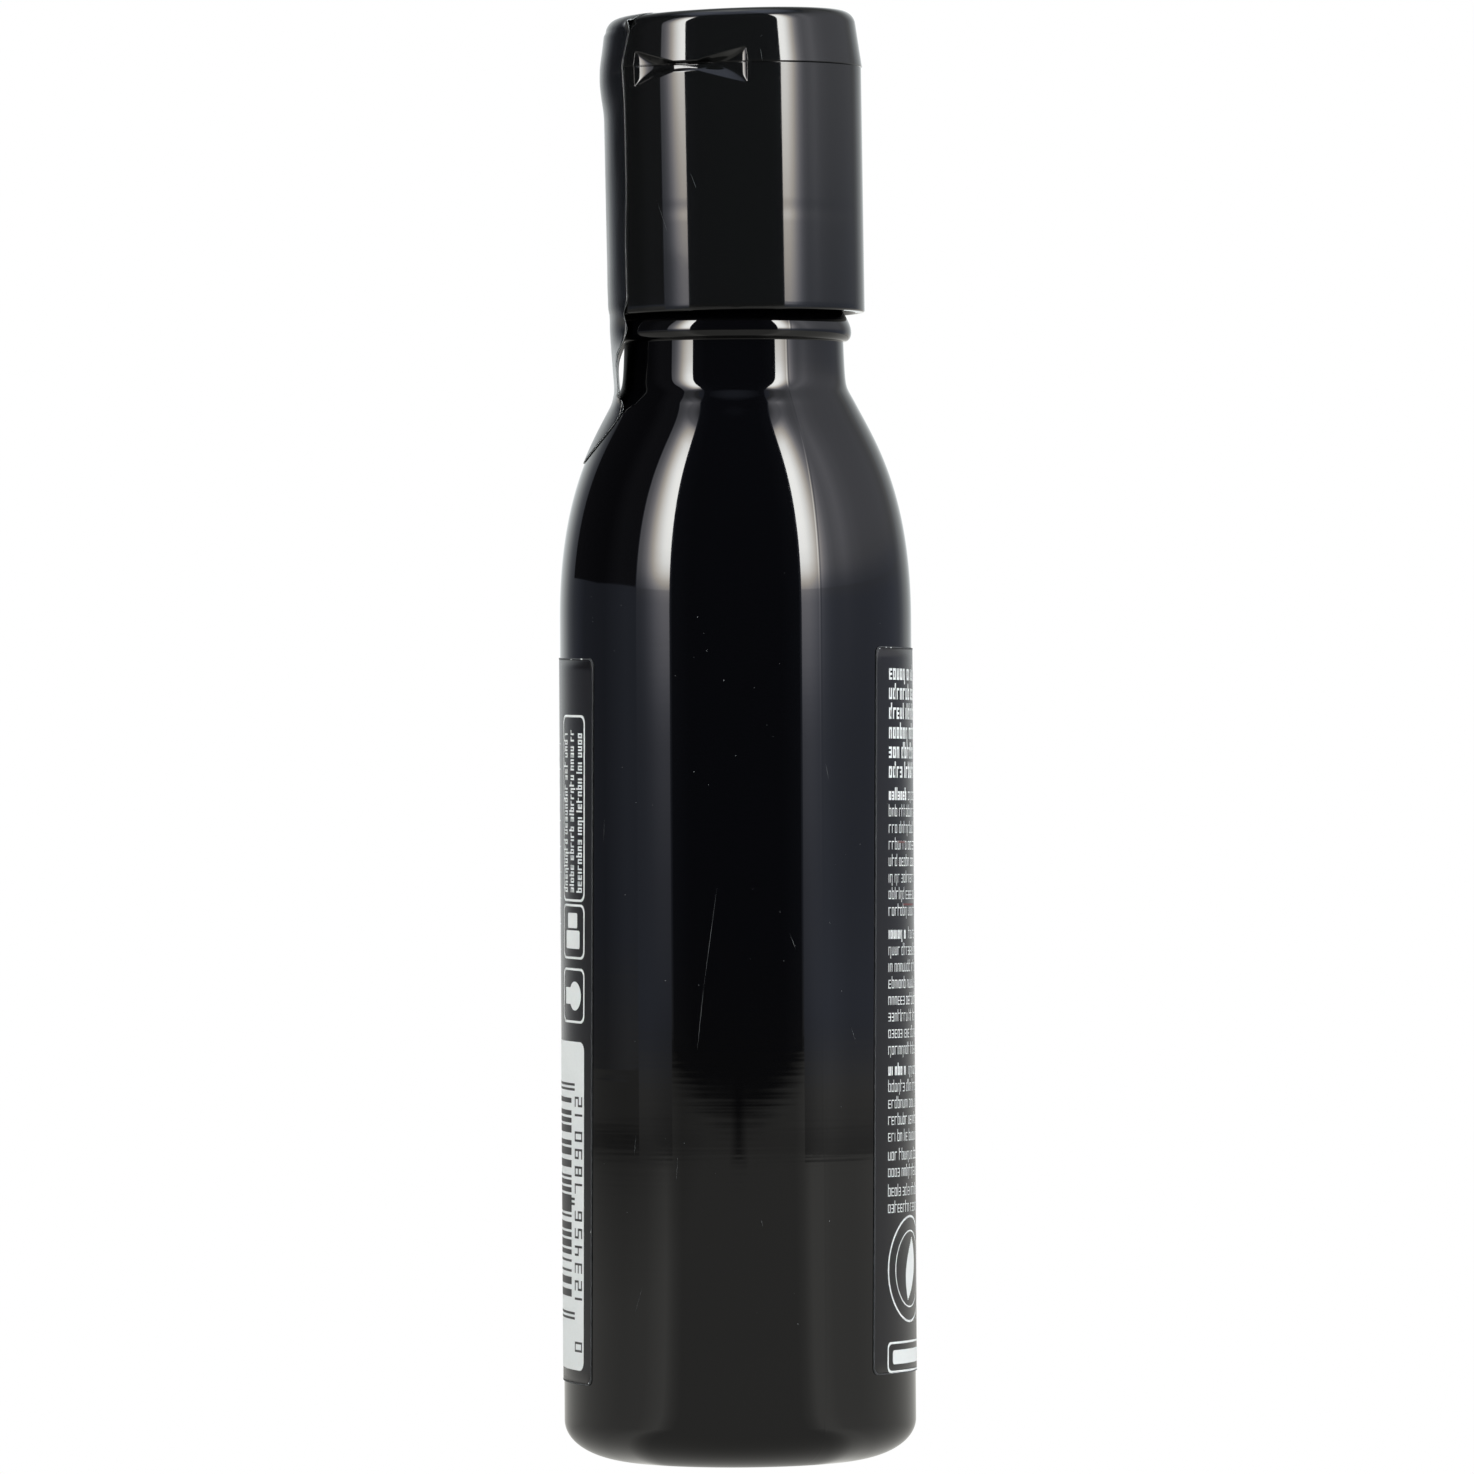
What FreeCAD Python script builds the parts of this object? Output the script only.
import FreeCAD, Part
import math
import os

from FreeCAD import Placement, Rotation, Vector

# A black squeeze bottle of balsamic glaze with a snap-on flip cap, a tamper strip
# and a wrap-round label. Lengths are in millimetres and angles in degrees.
# The origin is the middle of the base, on the surface that the bottle stands on,
# and +Z runs up the bottle. Azimuths turn about +Z: 0 is the bare front, towards
# -Y, and they grow towards +X.

# Bottle body, with a dished base
body_radius = 23.25
body_height = 111.1        # straight wall, up to the start of the shoulder
heel_reach = 10.0          # the rounded heel, measured inwards
heel_height = 5.5          # the same heel, measured upwards
foot_ring_width = 2.25     # flat ring that the bottle stands on
push_up_depth = 1.5
roundness = 0.58           # how far the heel's and the bead's curves keep to their sides
shoulder_height = 32.95
shoulder_pull = 22.6       # how long the shoulder keeps to the body's wall
neck_pull = 5.5            # how long it keeps to the neck

# Neck, its bead and the plain part above it
neck_radius = 14.65
neck_length = 3.7          # from the shoulder to the bead
bead_reach = 0.9           # how far the bead stands out of the neck
bead_rise = 1.25           # from the bead's foot to its crest
bead_slope = 2.85          # from the crest to the top of the slope
finish_inset = 0.25        # the part inside the cap is a little slimmer
finish_length = 2.7        # from the slope to the flat that carries the cap

# Flip cap: skirt, lid and hinge, moulded in one piece
cap_overhang = 1.35        # the skirt's lower edge, outside the bead
cap_stand = 2.45           # the same edge, above the bead's crest
cap_flare = 0.1            # how much wider the skirt is at the seam
skirt_height = 32.3
skirt_wall = 1.2
skirt_edge = 0.25          # rounded lower edge
cap_shift = 0.45           # the cap sits a little to one side on the neck
cap_lean = 0.7             # and leans back over it
seam_height = 0.14         # open line between the skirt and the lid
seam_depth = 1.2
lid_lip = 0.08             # the lid's edge stands proud of the skirt
lid_height = 7.1
lid_taper = 6.5
lid_slant = 1.3            # slope of the lid's top
lid_crown = 0.25           # dome of the lid's top
lid_round = 1.9

# Butterfly hinge: a bow-tie recess whose thin floor joins the lid to the skirt
hinge_azimuth = -21.5
hinge_drop = 0.4           # its middle lies this far under the seam
wing_reach = 7.8           # from the middle to the end of a wing
wing_height = 5.0
wing_depth = 1.25          # at the end of a wing
waist_reach = 2.2          # from the middle to the start of a wing
waist_height = 1.35
waist_depth = 0.7
wing_end_wall = 1.25       # how far the sloped wall at a wing's end comes in
wing_top_wall = 0.35       # the same for the wall over its floor
wing_low_wall = 0.7        # and for the wall under it

# Tamper strip, stuck over the lid, the skirt and the shoulder
strip_width = 17.6
strip_thickness = 0.25
strip_lid_reach = 11.5     # how far it runs over the lid's top, from the skirt's side
strip_landing = 3.65       # where it meets the shoulder, below the neck's start
strip_grip = 8.6           # how far down the shoulder it runs from there
strip_flat_radius = 60.0   # how little it bends where it hangs free
strip_slack_radius = 30.0  # and half way from there to the cap

# Wrap-round label
label_start = 51.3
label_end = 306.3
label_low_margin = 5.15    # bare wall under it, above the heel
label_top_margin = 3.7     # bare wall over it, below the shoulder
label_skew = 1.4           # its end lies this much lower than its start
label_corner = 1.0
label_thickness = 0.13

# Sizes and levels that follow from the ones above
foot_radius = body_radius - heel_reach
push_up_radius = foot_radius - foot_ring_width
neck_start = body_height + shoulder_height
bead_foot = neck_start + neck_length
bead_crest = bead_foot + bead_rise
bead_radius = neck_radius + bead_reach
finish_start = bead_crest + bead_slope
finish_top = finish_start + finish_length
finish_radius = neck_radius - finish_inset
cap_radius = bead_radius + cap_overhang
cap_foot = bead_crest + cap_stand
seam_radius = cap_radius + cap_flare
lid_foot = skirt_height + seam_height
strip_half = strip_width / 2
strip_land_height = neck_start - strip_landing
label_foot = heel_height + label_low_margin
label_height = body_height - label_foot - label_top_margin - label_skew

origin = Vector(0, 0, 0)
up = Vector(0, 0, 1)
cap_place = Placement(Vector(cap_shift, 0, cap_foot), Rotation(Vector(0, 1, 0), -cap_lean))


def at(radius, height):
    """A point of an outline, in the XZ plane."""
    return Vector(radius, 0, height)


def curve(*poles):
    """A Bezier curve, which leaves each end towards the next pole."""
    bezier = Part.BezierCurve()
    bezier.setPoles(list(poles))
    return bezier


def turned(*edges):
    """The solid that a closed outline sweeps round the Z axis."""
    return Part.Face(Part.Wire(Part.__sortEdges__(list(edges)))).revolve(origin, up, 360)


def shoulder_curve(offset=0.0):
    """The shoulder's outline: upright where it leaves the body and where it meets the neck."""
    return curve(
        at(body_radius + offset, body_height),
        at(body_radius + offset, body_height + shoulder_pull),
        at(neck_radius + offset, neck_start - neck_pull),
        at(neck_radius + offset, neck_start),
    )


def shoulder_radius(height):
    """The shoulder's radius at a height, where a level line meets its outline."""
    level = Part.LineSegment(at(0, height), at(2 * body_radius, height))
    return shoulder_curve().intersectCC(level)[0].X


def bottle():
    """Body, shoulder, neck and bead, up to the flat that carries the cap."""
    push_up = curve(
        at(0, push_up_depth),
        at(push_up_radius / 2, push_up_depth),
        at(push_up_radius / 2, 0),
        at(push_up_radius, 0),
    )
    heel = curve(
        at(foot_radius, 0),
        at(foot_radius + roundness * heel_reach, 0),
        at(body_radius, heel_height - roundness * heel_height),
        at(body_radius, heel_height),
    )
    bead_under = curve(
        at(neck_radius, bead_foot),
        at(neck_radius + roundness * bead_reach, bead_foot),
        at(bead_radius, bead_crest - roundness * bead_rise),
        at(bead_radius, bead_crest),
    )
    bead_over = curve(
        at(bead_radius, bead_crest),
        at(bead_radius, bead_crest + bead_slope / 3),
        at((bead_radius + finish_radius) / 2, bead_crest + bead_slope * 2 / 3),
        at(finish_radius, finish_start),
    )
    return turned(
        push_up.toShape(),
        Part.makeLine(at(push_up_radius, 0), at(foot_radius, 0)),
        heel.toShape(),
        Part.makeLine(at(body_radius, heel_height), at(body_radius, body_height)),
        shoulder_curve().toShape(),
        Part.makeLine(at(neck_radius, neck_start), at(neck_radius, bead_foot)),
        bead_under.toShape(),
        bead_over.toShape(),
        Part.makeLine(at(finish_radius, finish_start), at(finish_radius, finish_top)),
        Part.makeLine(at(finish_radius, finish_top), at(0, finish_top)),
        Part.makeLine(at(0, finish_top), at(0, push_up_depth)),
    )


def skirt_blank(height, offset=0.0):
    """The skirt without its hinge and hollow, on the cap's own axis."""
    top_radius = cap_radius + cap_flare * height / skirt_height
    return Part.makeCone(cap_radius + offset, top_radius + offset, height)


def lid_blank(offset=0.0):
    """The lid, turned about its own slanted axis and cut level at its foot."""
    reach = 2 * seam_radius * math.tan(math.radians(lid_slant))
    narrowing = math.tan(math.radians(lid_taper))
    foot = seam_radius + lid_lip + offset
    top = lid_height + offset
    rim = foot - top * narrowing
    side_foot = at(foot + reach * narrowing, -reach)
    half_way = top + 0.75 * lid_crown  # a shallow dome's height at half its radius
    dome = Part.Arc(at(rim, top), at(rim / 2, half_way), at(0, top + lid_crown))
    lid = turned(
        Part.makeLine(at(0, -reach), side_foot),
        Part.makeLine(side_foot, at(rim, top)),
        dome.toShape(),
        Part.makeLine(at(0, top + lid_crown), at(0, -reach)),
    )
    top_edge = [e for e in lid.Edges if e.Closed and abs(e.Vertexes[0].Z - top) < 0.01]
    lid = lid.makeFillet(lid_round + offset, top_edge)
    lid.Placement = Placement(at(0, lid_foot), Rotation(Vector(0, 1, 0), -lid_slant))
    above = Part.makeCylinder(2 * seam_radius, 4 * lid_height, at(0, lid_foot))
    return lid.common(above)


def hinge_point(side, height, distance):
    """A point by the hinge: along the seam from its middle, above it, and out from the axis."""
    return Vector(side, -distance, lid_foot - seam_height / 2 - hinge_drop + height)


def recess_between(opening, floor):
    """The hollow between a floor and its opening, carried on to twice its depth."""
    outside = [f + (o - f) * 2 for o, f in zip(opening, floor)]
    wires = [Part.makePolygon([*points, points[0]]) for points in (floor, outside)]
    return Part.makeLoft(wires, True, True)


def hinge_wing(way):
    """One wing: a floor that gets deeper towards the wing's end, with sloped walls."""
    middle = math.sqrt(seam_radius**2 - waist_reach**2)
    end = math.sqrt(seam_radius**2 - wing_reach**2)
    waist = waist_height / 2
    wing = wing_height / 2
    floor_end = way * (wing_reach - wing_end_wall)
    opening = [
        hinge_point(way * waist_reach, -waist, middle),
        hinge_point(way * wing_reach, -wing, end),
        hinge_point(way * wing_reach, wing, end),
        hinge_point(way * waist_reach, waist, middle),
    ]
    floor = [
        hinge_point(way * waist_reach, -waist / 2, middle - waist_depth),
        hinge_point(floor_end, wing_low_wall - wing, end - wing_depth),
        hinge_point(floor_end, wing - wing_top_wall, end - wing_depth),
        hinge_point(way * waist_reach, waist / 2, middle - waist_depth),
    ]
    return recess_between(opening, floor)


def hinge_waist():
    """The groove that joins the two wings."""
    middle = math.sqrt(seam_radius**2 - waist_reach**2)
    ends = [(-waist_reach, -1), (waist_reach, -1), (waist_reach, 1), (-waist_reach, 1)]
    waist = waist_height / 2
    opening = [hinge_point(x, z * waist, middle) for x, z in ends]
    floor = [hinge_point(x, z * waist / 2, middle - waist_depth) for x, z in ends]
    return recess_between(opening, floor)


def hinge_bridge():
    """What closes the seam between the ends of the hinge's wings."""
    corner = Vector(-wing_reach, -seam_radius, skirt_height)
    slab = Part.makeBox(2 * wing_reach, seam_radius, seam_height, corner)
    return slab.common(Part.makeCylinder(seam_radius, seam_height, at(0, skirt_height)))


def flip_cap():
    """Skirt and lid held together by the hinge's membrane, over a hollow for the neck."""
    skirt = skirt_blank(skirt_height)
    foot_edge = [e for e in skirt.Edges if e.Closed and e.BoundBox.ZMax < skirt_edge]
    skirt = skirt.makeFillet(skirt_edge, foot_edge)
    seam_land = Part.makeCylinder(seam_radius - seam_depth, seam_height, at(0, skirt_height))
    bridge = hinge_bridge()
    recess = hinge_wing(-1).fuse([hinge_waist(), hinge_wing(1)])
    for piece in (bridge, recess):
        piece.rotate(origin, up, hinge_azimuth)
    cap = skirt.fuse([lid_blank(), seam_land, bridge]).cut(recess)
    cap.Placement = cap_place
    hollow_depth = finish_top - cap_foot
    hollow = Part.makeCylinder(
        cap_radius - skirt_wall, 2 * hollow_depth, Vector(cap_shift, 0, finish_top - 2 * hollow_depth)
    )
    return cap.cut(hollow)


def strip_section(radius, reach, place):
    """A level slice of the strip, bent to a radius, whose inner face reaches so far from the axis."""
    faces = []
    for bend in (radius, radius + strip_thickness):
        edge = radius - reach - math.sqrt(bend**2 - strip_half**2)
        middle = at(radius - reach - bend, 0)
        faces.append(Part.Arc(Vector(edge, -strip_half, 0), middle, Vector(edge, strip_half, 0)).toShape())
    sides = [Part.makeLine(a.Point, b.Point) for a, b in zip(faces[0].Vertexes, faces[1].Vertexes)]
    wire = Part.Wire(Part.__sortEdges__([*faces, *sides]))
    wire.Placement = place
    return wire


def strip_cutter(start, foot, length, height):
    """A block as wide as the strip, from a distance along X and from a level."""
    return Part.makeBox(length, strip_width, height, Vector(start, -strip_half, foot))


def strip_on_cap():
    """The strip over the lid's top, with its round end, and down past the seam to the skirt's foot."""
    under = skirt_blank(lid_foot).fuse(lid_blank())
    skin = skirt_blank(lid_foot, strip_thickness).fuse(lid_blank(strip_thickness)).cut(under)
    reach = 2 * seam_radius
    round_middle = strip_lid_reach - seam_radius - strip_half
    on_skirt = strip_cutter(-reach, 0, reach, lid_foot)
    on_lid = strip_cutter(round_middle - reach, 0, reach, 2 * lid_foot)
    round_end = Part.makeCylinder(strip_half, lid_foot, at(round_middle, lid_foot))
    strip = skin.common(on_skirt.fuse([on_lid, round_end]))
    strip.Placement = cap_place
    return strip


def strip_span():
    """The free part under the cap, which flattens where nothing holds it."""
    low = shoulder_radius(strip_land_height)
    high = cap_radius - cap_shift
    rise = cap_foot - strip_land_height
    sections = [strip_section(low, low, Placement(at(0, strip_land_height), Rotation()))]
    for share, bend in ((0.3, strip_flat_radius), (0.6, strip_slack_radius)):
        level = Placement(at(0, strip_land_height + share * rise), Rotation())
        sections.append(strip_section(bend, low + share * (high - low), level))
    sections.append(strip_section(cap_radius, cap_radius, cap_place))
    return Part.makeLoft(sections, True)


def strip_on_shoulder():
    """The strip's lower end, which lies on the shoulder and ends in a half round."""
    outlines = [shoulder_curve(offset).toShape() for offset in (0, strip_thickness)]
    ends = [Part.makeLine(a.Point, b.Point) for a, b in zip(outlines[0].Vertexes, outlines[1].Vertexes)]
    skin = turned(*outlines, *ends)
    reach = 2 * body_radius
    round_middle = strip_land_height - strip_grip + strip_half
    round_end = Part.makeCylinder(strip_half, reach, at(-reach, round_middle), Vector(1, 0, 0))
    band = strip_cutter(-reach, round_middle, reach, strip_width)
    under_landing = strip_cutter(-reach, strip_land_height - strip_width, reach, strip_width)
    return skin.common(round_end.fuse(band)).common(under_landing)


def seal_strip():
    """The whole strip, one thin piece."""
    return strip_on_cap().fuse([strip_span(), strip_on_shoulder()])


def label_point(corner, towards, share):
    """The point at a share of the way from one corner of the flat label to another."""
    return FreeCAD.Base.Vector2d(*[a + share * (b - a) for a, b in zip(corner, towards)])


def wrap_label():
    """The label: a thin sheet bent round the body, which hangs a little lower at its end."""
    face = Part.Cylinder()
    face.Radius = body_radius + label_thickness
    start = math.radians(label_start)
    end = math.radians(label_end)
    corners = [
        (start, label_foot + label_skew),
        (end, label_foot),
        (end, label_foot + label_height),
        (start, label_foot + label_skew + label_height),
    ]
    along = label_corner / (face.Radius * (end - start))
    upright = label_corner / label_height
    edges = []
    for i, (enter, leave) in enumerate([(upright, along), (along, upright)] * 2):
        before, corner, after = corners[i - 1], corners[i], corners[(i + 1) % 4]
        rounding = Part.Geom2d.BezierCurve2d()
        side_start = label_point(corner, after, leave)
        rounding.setPoles([label_point(corner, before, enter), label_point(corner, after, 0), side_start])
        side = Part.Geom2d.Line2dSegment(side_start, label_point(after, corner, leave))
        edges += [rounding.toShape(face), side.toShape(face)]
    sheet = Part.Face(face, Part.Wire(edges)).makeOffsetShape(-label_thickness, 0.001, fill=True)
    sheet.rotate(origin, up, -90)
    return sheet


os.makedirs("parts", exist_ok=True)
nodes = {
    "bottle": bottle(),
    "flip_cap": flip_cap(),
    "seal_strip": seal_strip(),
    "wrap_label": wrap_label(),
}
for node, shape in nodes.items():
    shape.Solids[0].exportStep("parts/" + node + ".step")
